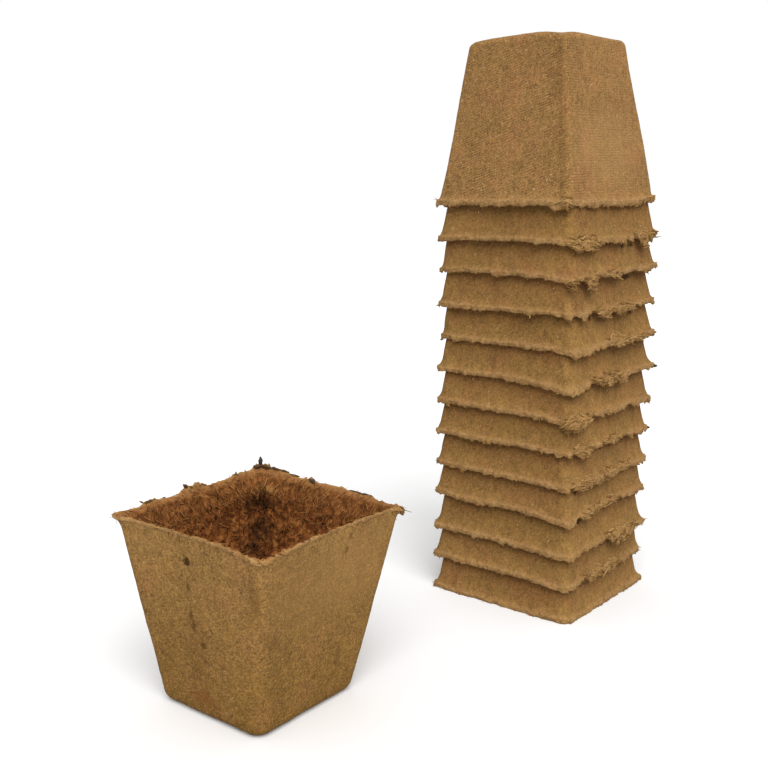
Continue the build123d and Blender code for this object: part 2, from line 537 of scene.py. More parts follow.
def add_node(tree, kind, inputs=None, **settings):
    """Adds a shader node, sets its properties, and sets or links its inputs."""
    node = tree.nodes.new("ShaderNode" + kind)
    for key, value in settings.items():
        setattr(node, key, value)
    for key, value in (inputs or {}).items():
        if isinstance(value, bpy.types.NodeSocket):
            tree.links.new(value, node.inputs[key])
        else:
            node.inputs[key].default_value = value
    return node


def new_material(name):
    """A material with nodes, its node tree and its shader."""
    material = bpy.data.materials.new(name)
    material.use_nodes = True
    return material, material.node_tree, material.node_tree.nodes["Principled BSDF"]


def set_ramp(node, stops):
    """Gives a colour ramp these stops, each a place and a hex colour."""
    ramp = node.color_ramp
    while len(ramp.elements) < len(stops):
        ramp.elements.new(1.0)
    for element, (place, code) in zip(ramp.elements, stops):
        element.position = place
        element.color = hex_colour(code)
    return node.outputs["Color"]


# %% Pressed peat pulp
MESH_PITCH = 1.2
MESH_SLANT = (-0.29, 0.0, 0.957)
MESH_WANDER = 1.6
MOTTLES = ((1.8, 0.55), (3.5, 0.7), (26.0, 0.5))
WOOD_FIBRE = "#c3a06a"
DARK_GRAIN = "#573a19"
PALE_CHIP = "#d8c094"
# Colour of the painted shade in the band under the lip above, a little redder than the skin
UNDER_LIP_SHADE = "#784a26"
# The torn lip: paler pulp, lightened further by a painted highlight along the crest
TORN_PULP_AND_HIGHLIGHT = ("#906b3c", "#b99365")
FIBRE_TURNS = ((0.4, 0.9, 0.2), (1.9, 0.3, 0.8))


def peat_pulp(name, skin, shaded_foot_skin, patch, red, imprint, contrast, strand_share, under_lip_painted_shade,
              spots=(), stains_and_shade=()):
    """Pressed peat and wood fibre: matt, mottled, flecked, felted inside, pale at the lip with a painted
    highlight, and with painted shade and painted light in some marks.
    """
    material, tree, shader = new_material(name)
    coordinates = add_node(tree, "TexCoord")
    place = coordinates.outputs["Object"]

    def noise(width, detail=2.0, stretch=(1, 1, 1), turn=(0, 0, 0), roughness=0.55):
        spread = add_node(tree, "Mapping", {"Vector": place, "Scale": stretch, "Rotation": turn},
                          vector_type="TEXTURE").outputs["Vector"]
        inputs = {"Vector": spread, "Scale": per_mm(width), "Detail": detail, "Roughness": roughness}
        return add_node(tree, "TexNoise", inputs).outputs["Fac"]

    def mix(share, first, second):
        return add_node(tree, "Mix", {0: share, 6: first, 7: second}, data_type="RGBA").outputs[2]

    def remap(value, low_in, high_in, low_out=0.0, high_out=1.0):
        inputs = {"Value": value, "From Min": low_in, "From Max": high_in,
                  "To Min": low_out, "To Max": high_out}
        return add_node(tree, "MapRange", inputs).outputs["Result"]

    def figure(operation, *values):
        return add_node(tree, "Math", dict(enumerate(values)), operation=operation).outputs[0]

    def vector(operation, first, second, output="Vector"):
        node = add_node(tree, "VectorMath", {0: first, 1: second}, operation=operation)
        return node.outputs[output]

    def blotch(colour, centre, size, strength, code, core=0.3):
        apart = vector("SUBTRACT", place, [value * MM for value in centre])
        away = vector("LENGTH", vector("DIVIDE", apart, [value * MM for value in size]), (0, 0, 0), "Value")
        return mix(remap(figure("ADD", away, uneven), core, 1.15, strength, 0.0), colour, hex_colour(code))

    uneven = figure("MULTIPLY_ADD", noise(1.8, 3.0), 1.4, -0.7)
    lip, inside, foot = [add_node(tree, "Attribute", attribute_name=key).outputs["Fac"]
                         for key in ("lip_share", "inside_share", "foot_share")]

    # The imprint of the wire mesh: patchy, slanted lines, weaker on right faces
    slant = vector("DOT_PRODUCT", place, MESH_SLANT, "Value")
    across_mesh = figure("MULTIPLY_ADD", noise(5, 2), MESH_WANDER * MM, slant)
    lines = figure("SINE", figure("MULTIPLY", across_mesh, per_mm(MESH_PITCH) * 2 * math.pi))
    facing_x = add_node(tree, "SeparateXYZ", {0: coordinates.outputs["Normal"]}).outputs["X"]
    patchy = figure("MULTIPLY", remap(noise(8), 0.4, 0.62, 0.1, 1), remap(facing_x, 0.3, 0.7, 1, 0.6))
    lines = figure("MULTIPLY", lines, figure("MULTIPLY", patchy, imprint))

    # The mottled skin: grains, upright streaks, red patches, painted shade towards the foot,
    # and a redder painted shade in the band under a lip
    tone = figure("MULTIPLY_ADD", noise(0.9, 3, roughness=0.62), contrast, 1.0 - contrast / 2)
    for width, spread in MOTTLES:
        tone = figure("ADD", tone, figure("MULTIPLY_ADD", noise(width, 3), spread, -spread / 2))
    streaks = noise(2.2, 2, stretch=(1, 1, 7))
    tone = figure("ADD", tone, figure("MULTIPLY_ADD", streaks, 0.4, -0.2))
    tone = figure("MULTIPLY_ADD", lines, 0.18, tone)
    # Painted shade towards the foot: the skin darkens to its foot colour
    skin_colour = mix(foot, hex_colour(skin), hex_colour(shaded_foot_skin))
    skin_colour = mix(remap(noise(17, 3), 0.45, 0.7, 0, red), skin_colour, hex_colour(patch))
    # Painted shade: a redder, darker band just under the lip of the pot above
    painted_shade_band = figure("MULTIPLY", remap(foot, 0.08, 0.2, 0, under_lip_painted_shade), remap(foot, 0.25, 0.34, 1, 0))
    painted_shade_band = figure("MULTIPLY", painted_shade_band, remap(noise(14, 3), 0.35, 0.6, 0.35, 1))
    skin_colour = mix(painted_shade_band, skin_colour, hex_colour(UNDER_LIP_SHADE))
    toned = add_node(tree, "VectorMath", {0: skin_colour, "Scale": tone}, operation="SCALE")
    colour = toned.outputs["Vector"]

    # Pale wood fibres, dark grains, pale chips and single marks, among them spots of painted shade,
    # painted shadow and painted highlight
    for turn in FIBRE_TURNS:
        strands = noise(0.55, 1, stretch=(1, 1, 6), turn=turn)
        colour = mix(remap(strands, 0.62, 0.72, 0, strand_share), colour, hex_colour(WOOD_FIBRE))
    colour = mix(remap(noise(1.6), 0.67, 0.75, 0, 0.5), colour, hex_colour(DARK_GRAIN))
    colour = mix(remap(noise(1.2, 0), 0.83, 0.87, 0, 0.6), colour, hex_colour(PALE_CHIP))
    for spot in spots:
        colour = blotch(colour, *spot)

    # The felt inside, red-brown and dull, with dark marks that are partly stains and partly painted
    # shade, and the paler torn pulp of the lip under a painted highlight
    felt = set_ramp(add_node(tree, "ValToRGB", {"Fac": noise(2.4, 4, roughness=0.62)}),
                    ((0.32, "#4a270b"), (0.50, "#854e23"), (0.68, "#b07238")))
    felt = mix(remap(foot, 0.02, 0.17, 0.45, 0), felt, hex_colour("#8d6034"))
    # Dark marks in the felt: partly stains, partly painted shade in the far corner
    for stain_and_shade in stains_and_shade:
        felt = blotch(felt, *stain_and_shade)
    colour = mix(remap(inside, 0.35, 0.85), colour, felt)
    # Painted highlight: the lip's paler torn pulp is also lightened where its crest catches the light
    torn = mix(remap(noise(1.6, 3), 0.35, 0.65), *map(hex_colour, TORN_PULP_AND_HIGHLIGHT))
    colour = mix(remap(lip, 0.4, 0.9, 0, 0.58), colour, torn)
    tree.links.new(colour, shader.inputs["Base Color"])

    # Dry and matt, with a grain that only the light picks out
    tree.links.new(remap(noise(1.6), 0.3, 0.7, 0.85, 1), shader.inputs["Roughness"])
    shader.inputs["Specular IOR Level"].default_value = 0.2

    height = figure("MULTIPLY_ADD", noise(0.7, 3, roughness=0.65), 0.8, noise(2.2, 3))
    height = figure("ADD", height, figure("MULTIPLY", lines, remap(inside, 0, 0.4, 1, 0)))
    bump = add_node(tree, "Bump", {"Height": height, "Strength": 0.65, "Distance": 0.45 * MM})
    tree.links.new(bump.outputs["Normal"], shader.inputs["Normal"])
    return material


# %% Loose peat fibre
def peat_fibre(name, dark, middle, pale):
    """Single fibres and crumbs: matt, from peat dark to wood pale by their tone."""
    material, tree, shader = new_material(name)
    tone = add_node(tree, "Attribute", attribute_name="tone").outputs["Fac"]
    place = add_node(tree, "TexCoord").outputs["Object"]
    inputs = {"Vector": place, "Scale": per_mm(1.5), "Detail": 2.0}
    patch = add_node(tree, "TexNoise", inputs).outputs["Fac"]
    mixed = add_node(tree, "Math", {0: patch, 1: 0.5, 2: -0.25}, operation="MULTIPLY_ADD")
    shade = add_node(tree, "Math", {0: tone, 1: mixed.outputs[0]}, operation="ADD")
    ramp = add_node(tree, "ValToRGB", {"Fac": shade.outputs[0]})
    colour = set_ramp(ramp, ((0.0, dark), (0.5, middle), (1.0, pale)))
    tree.links.new(colour, shader.inputs["Base Color"])
    rough = add_node(tree, "MapRange", {"Value": patch, "To Min": 0.8, "To Max": 1.0})
    tree.links.new(rough.outputs["Result"], shader.inputs["Roughness"])
    shader.inputs["Specular IOR Level"].default_value = 0.2
    bump = add_node(tree, "Bump", {"Height": patch, "Strength": 0.3, "Distance": 0.2 * MM})
    tree.links.new(bump.outputs["Normal"], shader.inputs["Normal"])
    return material


# %% [markdown]
# ## The pots in their places
# The loose pot stands on its foot. The tower's shells are turned upside down, a little further
# round with each pot, and lifted to their own solid, whose place is read from the frame. Places
# on a rim are given as they lie in the whole set, so upside down their y changes sign.

# %% Place a pot
TOWER_TURN = 1.4
TURN_STEP = 0.3
CRUMB_SINK = 0.2


def stand(points, node, upside_down, turn):
    """The shell's points moved to where the node is, turned over if it stands on its mouth."""
    low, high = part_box(node)
    placed = points.copy()
    if upside_down:
        placed[..., 1] *= -1
        placed[..., 2] = POT_HEIGHT - placed[..., 2]
    angle = math.radians(-turn)
    x, y = placed[..., 0].copy(), placed[..., 1].copy()
    placed[..., 0] = x * math.cos(angle) - y * math.sin(angle) + (low.x + high.x) / 2 / MM
    placed[..., 1] = x * math.sin(angle) + y * math.cos(angle) + (low.y + high.y) / 2 / MM
    placed[..., 2] += low.z / MM
    return placed


def add_tubes(name, node, sets, sides, profile, material, seed, upside_down=False, turn=0.0, flat=1.0):
    """One mesh of all the fibres or crumbs in these sets, riding on the pot's body."""
    *paths, tones = [np.concatenate(parts) for parts in zip(*sets)]
    points, faces = tubes(*paths, sides, profile, flat, seed)
    points = stand(points, node, upside_down, turn)
    points[:, 2] = np.maximum(points[:, 2], 0.0)
    piece = make_mesh(name, points, faces, {"tone": np.repeat(tones, sides * len(profile))}, material)
    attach(piece, node)
    return piece


def make_pot(node, rows, seed, form, materials, turn=0.0, upside_down=False, hairs=120, longest_hair=1.9,
             crumbs=60, bends=(), tufts=(), swells=(), dents=(), clumps=(), rim_shift=(0, 0),
             foot_shift=(0, 0)):
    """The shell of one pot with its fibres and crumbs, riding on its body in place of its solid."""
    side = -1 if upside_down else 1
    bends, tufts, swells, dents = [[(x, y * side, *rest) for x, y, *rest in places]
                                   for places in (bends, tufts, swells, dents)]
    clumps = [(x, y * side, to_x, to_y * side, *rest) for x, y, to_x, to_y, *rest in clumps]
    rim_shift, foot_shift = [np.array((x, y * side)) for x, y in (rim_shift, foot_shift)]
    pot = shape_pot(rows, seed, form, bends, tufts, swells, dents, rim_shift, foot_shift)
    placed = stand(pot["points"], node, upside_down, turn)
    if node in ("loose_pot", "stack_pot_01"):
        placed[..., 2] = np.maximum(placed[..., 2], 0.0)
    hubs = np.stack([placed[0].mean(axis=0), placed[-1].mean(axis=0)])
    shares = {}
    for key, foot_value, floor_value in (("lip", 0.0, 0.0), ("inside", 0.0, 1.0), ("foot", 1.0, 1.0)):
        spread = np.broadcast_to(pot[key], placed.shape[:2]).ravel()
        shares[key + "_share"] = np.append(spread, (foot_value, floor_value))
    points = np.concatenate([placed.reshape(-1, 3), hubs])
    shell = make_mesh(node + "_shell", points, grid_faces(*placed.shape[:2]), shares, materials[0])
    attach(shell, node)
    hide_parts(node)

    def grow(ending, sets, sides, profile, step, flat=1.0):
        add_tubes(node + ending, node, sets, sides, profile, materials[1], seed + step, upside_down,
                  turn, flat)

    grow("_fibres", [rim_fibres(pot, hairs, longest_hair, seed + 15)], FIBRE_SIDES, FIBRE_PROFILE, 17)
    grow("_crumbs", [rim_crumbs(pot, crumbs, seed + 18)], CRUMB_SIDES, CRUMB_PROFILE, 19)
    if clumps:
        grow("_shreds", clump_shreds(pot, clumps, seed + 16), CRUMB_SIDES, SHRED_PROFILE, 14, SHRED_FLATNESS)
    return pot


def crumb_set(pot, crumbs):
    """Single crumbs at places on the edge of a pot: each has an aim, a length, a width and a tone."""
    crest = chosen(pot, pot["fringe"] > 0.9)[0]
    roots = []
    for x, y, *rest in crumbs:
        nearest = np.argmin((crest[:, 0] - x) ** 2 + (crest[:, 1] - y) ** 2)
        roots.append(crest[nearest] - (0, 0, CRUMB_SINK))
    aims, lengths, widths, tones = [np.array(column, float) for column in list(zip(*crumbs))[2:]]
    leans = np.roll(aims, 1, axis=1) * (1, -1, 1)
    return np.array(roots), aims, leans, lengths, widths, np.zeros(len(tones)), tones


# %% [markdown]
# ## The loose pot
# Its lip is thin and cut nearly flush with the walls: only the left corner keeps a pointed ear,
# and the right one a blunt ear. Dark flecks run down its left face, a painted shade lies along its
# near corner, and a broad painted highlight lightens its right face. Inside, the felt is redder
# than the skin and thicker under the edge, and the far corner is dark under a paler ledge, partly
# with a stain and partly with painted shade. Along the far edge some dark crumbs and one upright
# splinter are left.

# %% Marks on the loose pot
low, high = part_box("loose_pot")
loose_middle = np.array(((low.x + high.x) / 2 / MM, (low.y + high.y) / 2 / MM, 0.0))
# Flecks on the skin, with one painted shade and one painted highlight among them
FLECKS_AND_PAINTED_LIGHT = (
    ((0.7, -38.3, 66.9), (1.9, 3, 2.4), 0.95, "#452a08", 0.6),
    ((-0.6, -36.7, 56.4), (0.9, 3, 2.4), 0.65, "#55370f", 0.4),
    ((-1.2, -35, 45), (1.2, 3, 3), 0.7, "#55370f", 0.4),
    ((-0.6, -34.3, 40.5), (1.3, 3, 2.6), 0.8, "#4c2f0b", 0.45),
    ((3.4, -33, 33), (1.5, 3, 1.8), 0.7, "#55370f", 0.4),
    ((-1, -33, 28), (7, 4, 26), 0.3, "#6f4d20"),
    # Painted shade along the near corner
    ((34.6, -36.9, 58), (2.4, 4, 13), 0.5, "#66451c"),
    ((-1.6, -29, 9), (11, 4, 5), 0.6, "#835024"),
    ((39.2, 8.9, 72.7), (3, 1.2, 1.4), 0.8, "#583a12", 0.5),
    ((38.4, 7.5, 67.3), (3, 1.3, 1.9), 0.85, "#50330d", 0.5),
    ((31.2, 11.5, 22), (4, 1.6, 7), 0.45, "#66451c"),
    # Painted highlight, broad and pale, over the right face
    ((38, 4, 58), (9, 40, 24), 0.35, "#b48a50"),
)
# Inside: a pale ledge, then dark marks down the far corner, partly a stain and partly painted shade
STAINS_AND_CORNER_SHADE = (
    ((-31.5, 37, 71.5), (10, 6, 2.2), 0.8, "#b5834a"),
    ((-33, 34, 66), (8, 8, 4), 0.75, "#301b0b"),
    ((-31, 32, 54), (7, 8, 7), 0.7, "#2e1a0b"),
    ((-31, 26, 47), (6, 8, 5), 0.6, "#35200e"),
)
spots, felt_stains_and_shade = [[(loose_middle + place, *rest) for place, *rest in marks]
                      for marks in (FLECKS_AND_PAINTED_LIGHT, STAINS_AND_CORNER_SHADE)]
# The loose pot's second colour is painted shade towards its foot
loose_pulp = peat_pulp("pressed_peat_pulp_loose", "#9d7641", "#86622a", "#a06c44", red=0.3, imprint=0.08,
                       contrast=2.0, strand_share=0.5, under_lip_painted_shade=0.0, spots=spots, stains_and_shade=felt_stains_and_shade)
felt_fibre = peat_fibre("felted_peat_fibre", "#341b0a", "#7e4b22", "#c08a50")
lip_fibre = peat_fibre("torn_peat_fibre", "#5f411d", "#8c6838", "#b58f5a")
dark_crumb = peat_fibre("dried_peat_crumb", "#3d3630", "#604524", "#98713e")
print("marks:", len(spots), "outside,", len(felt_stains_and_shade), "inside")

# %% Shell of the loose pot
# A bend or tuft has a place on the rim, a width, and how far it goes outward and beyond the mouth
LOOSE_SEED = 100
LOOSE_FORM = dict(lip_thickness=0.9, lip_round=0.1, overhang=0.1, lip_grip=4, foot_edge=4.2, tear=0.8,
                  fringe=0.9, right_tear=0.0, clots=0.5, felt=1.3, felt_sinks=False, rim_corner=0.7,
                  foot_corner=1.15, plan_share=1.0, rim_grip=1)
LOOSE_BENDS = ((-41, -41, 6, 2.6, 0), (41, 41, 6, 2.2, -0.8), (-41, 41, 16, 0, 3.2),
               (-41, 24, 8, 0, 0.8), (-12, 41, 24, 0, 0.9), (-41, -2, 20, 0, 0.8),
               (41, -41, 14, 0, -2.4), (32, 41, 8, 0, -1.9))
LOOSE_TUFTS = ((-41, 41, 6, 0, 1.2), (-41, -1, 5.5, 0.3, 2.6), (-41, -23, 4, 0, 1.4),
               (-41, 25, 3, 0, 1), (-30, 41, 7, 0, 0.8), (-9, 41, 2.5, 0, 1.2),
               (23, 41, 3, 0, 1.2), (41, 41, 5, 0.2, -1.4))
LOOSE_SWELLS = ((-34, 36, 72.5, 6, 2.2), (-36, 12, 66, 8, 1), (8, 37, 64, 9, 1))
loose = make_pot("loose_pot", CLOSE_ROWS, LOOSE_SEED, LOOSE_FORM, (loose_pulp, lip_fibre), hairs=90,
                 longest_hair=0.8, bends=LOOSE_BENDS, tufts=LOOSE_TUFTS, swells=LOOSE_SWELLS,
                 rim_shift=(1.2, 0.9), foot_shift=(-1.0, -0.8))
print("grid of the loose pot:", loose["points"].shape[:2])

# %% Felt of the loose pot
# Each set has a name, a count, the height where it begins, and a seed
FELT_SETS = (("loose_pot_felt", 9500, 0.0, 116), ("loose_pot_edge_felt", 2200, 62.0, 118))
# Felt fibres turn paler on the ledge and darker down the far corner, there partly painted shade
PALE_SHIFT = 0.45
DARK_SHIFT = -0.7
tone_shifts = [(place, size, PALE_SHIFT if at == 0 else DARK_SHIFT)
               for at, (place, size, *rest) in enumerate(STAINS_AND_CORNER_SHADE)]
for name, count, lowest, seed in FELT_SETS:
    fibres = [felt_fibres(loose, count, lowest, tone_shifts, seed)]
    add_tubes(name, "loose_pot", fibres, FIBRE_SIDES, FIBRE_PROFILE, felt_fibre, seed + 1)
    print(name, "has", count, "fibres")

# %% Dark crumbs on the far edge
# Each has a place on the rim, an aim, a length, a width and a tone
CRUMB_SEED = 150
EDGE_CRUMBS = (
    (-40.5, -25, (0.1, 1, 0.2), 5, 1.2, 0.45),
    (-40.5, -24.5, (-0.2, -0.7, 0.4), 2.2, 0.7, 0.5),
    (-40.5, -15, (0.1, 0.9, 0.3), 1.8, 1, 0.25),
    (-40.5, -1.5, (0.1, -0.7, 0.6), 3, 1.7, 0.5),
    (-40.5, 25, (0, 0.3, 1), 1.6, 0.9, 0.35),
    (-38.9, 40.4, (0, 0, 1), 3.9, 2.2, 0),
    (-40.5, 36, (0.6, 0.8, 0.1), 4, 1.8, 0.3),
    (-38, 40, (1, 0, -0.1), 6, 1.6, 0.4),
    (-32, 40.5, (1, 0, -0.1), 5.5, 1.4, 0.3),
    (-27, 40.5, (1, 0, 0), 5.5, 1.2, 0.35),
    (-21.5, 40.5, (1, 0, 0), 6, 1, 0.4),
    (-10, 40.5, (1, -0.3, -0.5), 3.6, 1.6, 0.15),
    (-8, 40.5, (0.8, -0.6, -0.8), 2.6, 1.6, 0.2),
    (42, 42, (-0.787, -0.617, -0.1), 3.4, 3.4, 0.85),
    (12, 40.5, (1, 0, 0.05), 6.5, 0.9, 0.2),
    (17.5, 40.5, (1, 0, 0.05), 6.5, 1, 0.25),
)
add_tubes("loose_pot_edge_crumbs", "loose_pot", [crumb_set(loose, EDGE_CRUMBS)], CRUMB_SIDES, CRUMB_PROFILE,
          dark_crumb, CRUMB_SEED)
print("crumbs on the far edge:", len(EDGE_CRUMBS))

# %% [markdown]
# ## The tower
# Thirteen pots were pushed over each other by hand, so no two rims lie alike. For each pot a row
# says how far its rim sits to the right, how far its near corner hangs, how far its right corner
# is lifted and how much its ears are worn, in millimetres. Most torn pulp hangs on the right
# faces and at the near corner, with shreds along it and small gaps beside it, darkened by painted
# shadow, and dark bits stick to two ears. The pots under the top one are darker, partly in their
# pulp and partly as painted shade under the rims above. All are a little narrower than the loose
# pot, as the photograph shows them.

# %% Rims of the tower
RIGHTWARD = np.array((0.787, 0.617))
LIP_AT = 41
EAR_WIDTH = 9
NEAR_WIDTH = 15
RIGHT_WIDTH = 20
RIM_MOVES = {
    13: (-1, 0, 3, 1.9), 12: (0.7, 1, 3, 1.7), 11: (1.5, 3.2, 2.4, 1.9), 10: (1, 1, 2.2, 1.9),
    9: (2.4, 2.5, 2.4, 2.3), 8: (1.5, 3.8, 1, 0.6), 7: (1.2, 2.3, 0, 1.3), 6: (0.5, 1.6, 0, 1.4),
    5: (0.5, 2, 0, 1.4), 4: (0.2, 3.8, 0, 1.7), 3: (0.7, 1.5, -1.5, 0.4), 2: (-0.2, 2.2, -1.2, 2.1),
    1: (0.5, 0, 0, 0.6),
}
TOWER_TUFTS = {
    13: ((33, -41, 4, 0.3, 1.8), (38.5, -41, 1.8, 0.2, 1.6)),
    12: ((41, -27, 7, 0.6, 2.6), (41, -36, 4, 0.3, 1.6), (41, 0, 7, -0.2, 0.8), (41, 8, 2.2, -0.8, -1.4),
         (41, 15, 2.4, -0.9, -1.8), (41, 25, 6, 0.9, 2.6), (41, 20.5, 2.2, 0.3, 2.4)),
    11: ((41, -40, 3, 0.5, 2.6), (41, -33.5, 1.8, -0.8, -1.6), (41, -26, 3.4, 0.7, 5),
         (41, -19, 2.5, -0.6, -1), (41, -5, 5, 0.5, 1.4), (41, 14, 7, -0.6, -1)),
    10: ((38.5, -41, 2, 0.2, 2.2), (41, -36, 1.8, -0.7, -1.4), (41, -30, 2.2, 0.3, 2.6),
         (41, -22, 2, -0.7, -1.4), (41, -13, 4, 0.5, 2.6), (41, 1, 1.8, 0.2, 1.8), (41, 9, 6, 0.7, 0.5),
         (41, 18, 2.5, -0.6, -1.4), (41, 36, 3, 0.3, 1), (27, -41, 4, -0.2, -1)),
    9: ((41, -32, 7, 0.4, 1.2), (41, 2.5, 9, 0.6, 0.8)),
    8: ((41, -22, 2.4, -0.9, -2), (41, -9, 8, 1.1, 2.4), (41, 4, 4, 0.5, 2.2), (14, -41, 10, 0.2, 1)),
    7: ((41, -34, 8, 0.9, 2), (41, -21, 2.4, -0.9, -2), (41, 14, 3, -0.5, -1)),
    6: ((30.5, -41, 1.8, -0.2, -1.2), (37, -41, 1.8, -0.2, -1.2), (41, -42, 2, 0.3, 2.2),
        (41, -36, 2.4, -0.9, -2), (41, -27, 5, 0.6, 2.4), (41, -9, 2.2, -0.9, -2),
        (41, 12, 3, -0.9, -2)),
    5: ((41, -36, 2, -0.9, -2), (41, -10, 18, 0.9, 1.4), (41, -18, 3, -0.4, -0.8)),
    4: ((41, -30, 2.2, -0.8, -1.8), (41, -22, 4, 0.4, 1.8), (41, 9, 2.6, -0.8, -1.8)),
    3: ((41, -26, 2.5, -0.4, -0.8), (41, -3, 2.4, -1.1, -2.6), (41, 11, 11, 1.6, 3.6),
        (41, 38, 2.5, 0.6, -1.5)),
    2: ((41, -24, 3, -0.9, -2.2), (41, -14, 6, 0.5, 1.8), (41, 2, 7, 1, 1.4)),
    1: (),
}
# Each clump of shreds: where it begins and ends on the rim, its width and its count
TOWER_CLUMPS = {
    13: ((31, -41, 38, -41, 3, 6),),
    12: ((41, -35, 41, -22, 4, 34), (41, 21, 41, 31, 4, 26)),
    11: ((41, -40, 41, -38, 4, 10), (41, -28, 41, -24, 4, 16), (41, -9, 41, 0, 3, 14)),
    10: ((41, -17, 41, -8, 4, 16), (41, 2, 41, 14, 3, 20)),
    9: ((41, -10, 41, 25, 3, 30),),
    8: ((41, -17, 41, 0, 4, 40), (41, 0, 41, 8, 3, 14)),
    7: ((41, -38, 41, -26, 4, 34),),
    6: ((41, -31, 41, -22, 4, 22), (41, -5, 41, 8, 3, 18)),
    5: ((41, -32, 41, -22, 3.5, 18), (41, -8, 41, 18, 3.5, 34)),
    4: ((41, -25, 41, -18, 3.5, 16), (41, -10, 41, 5, 3, 20)),
    3: ((41, 2, 41, 23, 5, 56),),
    2: ((41, -19, 41, -8, 4, 26), (41, -6, 41, 9, 4, 28)),
    1: (),
}
# Painted shadows in the gaps under the lip of a right face: place along it, and width
PAINTED_GAP_SHADOWS = {
    12: ((8, 1.8), (15.5, 2.4)), 11: ((-34, 1.6), (-15.5, 3), (12.5, 5)),
    10: ((-39, 1.6), (-21, 1.8), (17.5, 1.8)), 8: ((-22, 1.8),), 7: ((-22, 1.8), (15, 1.8)),
    6: ((-6, 2), (3, 1.2), (15, 2.4)),
    5: ((-30, 1.8), (-13, 4)), 4: ((-26, 2.4), (11.5, 1.4)), 3: ((-2.5, 2.4),), 2: ((-23, 1.8),),
}
EAR_BITS = {
    8: ((39.5, 41, (0.8, 0.6, 0.1), 2.2, 1.3, 0), (41, 38, (0.8, 0.5, 0.2), 2.2, 0.8, 0.05)),
    6: ((40, 40.5, (0.8, 0.6, 0), 2, 1.3, 0),),
}


def rim_bends(near_droop, right_lift, ear_wear):
    """Bends of a tower rim from its row: near corner, right corner, and the wear of all ears."""
    ears = [(LIP_AT * x, LIP_AT * y, EAR_WIDTH, -ear_wear, 0.0) for x, y in QUADRANTS]
    near_corner = (LIP_AT, -LIP_AT, NEAR_WIDTH, 0.0, near_droop)
    right_corner = (LIP_AT, LIP_AT, RIGHT_WIDTH, 0.0, -right_lift)
    return ears + [near_corner, right_corner]


print("rims with shreds:", sum(len(clumps) > 0 for clumps in TOWER_CLUMPS.values()))

# %% Pulp of the top pot
# Painted shade in a row of spots along the left side of the top pot's near edge
EDGE_SHADE_SHARES = (0.15, 0.32, 0.5, 0.68, 0.86)
EDGE_SHADE_INSET = 5.0
EDGE_SHADE_MARK = ((4.2, 4.0, 9.0), 0.32, "#6b4b22")
# A painted highlight on the top pot's right face, and a painted shade for a facet near its foot
TOP_PAINTED_LIGHT_AND_SHADE = (
    ((34.0, 4.0, 52.0), (8.0, 30.0, 22.0), 0.3, "#c0945e"),
    ((28.5, 19.0, 13.0), (5.0, 5.0, 9.0), 0.3, "#7a5a30"),
)
tower = sorted(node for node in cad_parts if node.startswith("stack_pot"))
top_turn = TOWER_TURN + TURN_STEP * (len(tower) - 1)
edge_shade = []
for share in EDGE_SHADE_SHARES:
    half = wall_half(share * POT_HEIGHT)
    edge_shade.append(((half - EDGE_SHADE_INSET, half, share * POT_HEIGHT), *EDGE_SHADE_MARK))
marks = [(stand(np.array(place), tower[-1], True, top_turn), *rest)
         for place, *rest in (*edge_shade, *TOP_PAINTED_LIGHT_AND_SHADE)]
top_pulp = peat_pulp("pressed_peat_pulp_top", "#956f40", "#926c3e", "#a06c44", red=0.5, imprint=0.35,
                     contrast=1.8, strand_share=0.6, under_lip_painted_shade=0.0, spots=marks)
print("marks on the top pot:", len(marks))

# %% Pulp of the pots below
# A painted shadow in a gap darkens the lip and the wall below: how far out it lies,
# and how far beyond the lip's edge
LIP_GAP_SHADOW = (41.0, -0.3)
WALL_GAP_SHADOW = (37.5, 2.0)
GAP_SHADOW_DEPTH = 4.0
GAP_SHADOW_HEIGHT = 1.5
GAP_SHADOW_PAINT = (0.85, "#38230e", 0.5)
# Darker than the top pot: partly their pulp, partly painted shade from the rims above
STACK_SKINS = (("a", "#906c39", 0.45), ("b", "#916c3a", 0.6), ("c", "#8f6b39", 0.7))
gap_shadow_marks = [[] for skin in STACK_SKINS]
for number, gap_shadows in PAINTED_GAP_SHADOWS.items():
    turn = TOWER_TURN + TURN_STEP * (number - 1)
    for y, width in gap_shadows:
        edge = POT_HEIGHT + RIM_MOVES[number][1] * math.exp(-((y + LIP_AT) / NEAR_WIDTH) ** 2)
        for owner, (x, beyond) in ((number, LIP_GAP_SHADOW), (number - 1, WALL_GAP_SHADOW)):
            place = stand(np.array((x, -y, edge + beyond)), tower[number - 1], True, turn)
            mark = (place, (GAP_SHADOW_DEPTH, width, GAP_SHADOW_HEIGHT), *GAP_SHADOW_PAINT)
            gap_shadow_marks[owner % len(STACK_SKINS)].append(mark)
stack_pulps = [peat_pulp(f"pressed_peat_pulp_{letter}", skin, skin, "#8d6038", red=red, imprint=0.06,
                         contrast=1.1, strand_share=0.35, under_lip_painted_shade=0.5, spots=marks)
               for (letter, skin, red), marks in zip(STACK_SKINS, gap_shadow_marks)]
print("gaps under the lips:", sum(len(gap_shadows) for gap_shadows in PAINTED_GAP_SHADOWS.values()))

